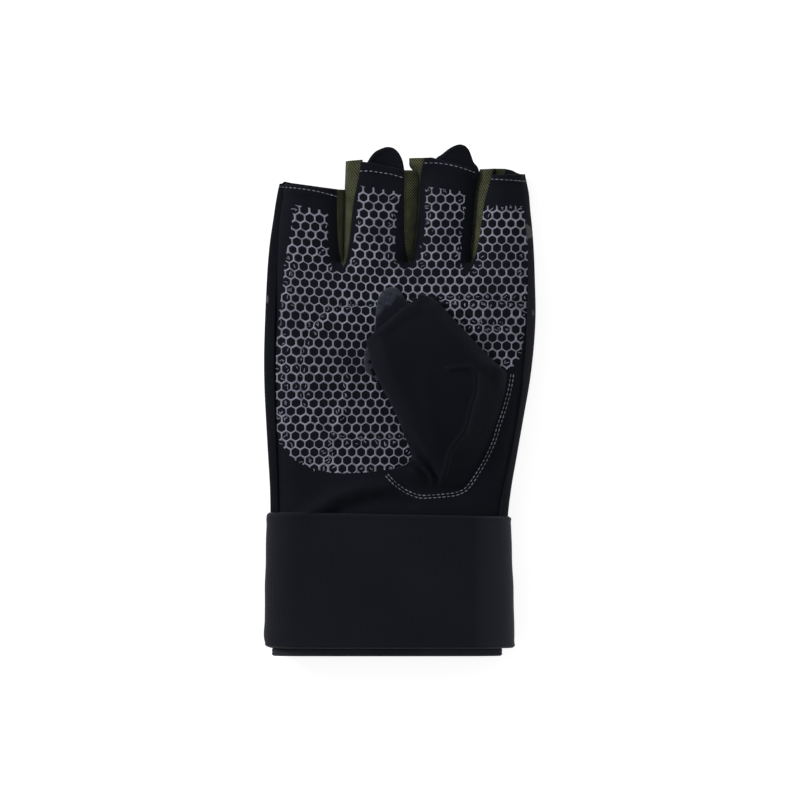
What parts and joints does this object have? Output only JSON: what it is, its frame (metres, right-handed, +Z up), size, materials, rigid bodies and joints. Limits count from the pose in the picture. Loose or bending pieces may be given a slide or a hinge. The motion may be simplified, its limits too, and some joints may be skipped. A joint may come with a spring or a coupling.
{
  "type": "weightlifting glove",
  "caption": "Fingerless lifting glove for the right hand: short open finger sleeves, a folded thumb sleeve, mesh gussets, a honeycomb grip patch and a wide elastic wrist wrap.",
  "frame": {"origin": "the middle of the glove's footprint, on the surface that it lies on", "axes": "+X to the thumb side, +Y from the wrist to the fingers, +Z up out of the palm"},
  "size_m": [0.1112, 0.2094, 0.0337],
  "materials": {
    "black_cloth": "matt knitted cloth",
    "printed_cloth": "matt cloth with an olive, grey and black blotch print",
    "olive_mesh": "matt open mesh",
    "grip_print": "satin silicone lines on black cloth",
    "fleece": "matt brushed loops",
    "elastic": "matt ribbed elastic",
    "hook_tape": "matt hook tape"
  },
  "bodies": {
    "root": {"palm_panel": "black_cloth", "back_panel": "printed_cloth", "gusset_little_ring": "olive_mesh", "gusset_ring_middle": "olive_mesh", "gusset_middle_index": "olive_mesh", "grip_patch": "grip_print", "pull_tab_ring": "black_cloth", "pull_tab_middle": "black_cloth", "thumb_back": "fleece", "thumb_front": "black_cloth", "wrist_cuff": "black_cloth", "wrist_wrap": "elastic", "wrap_closure": "hook_tape"}
  },
  "joints": []
}
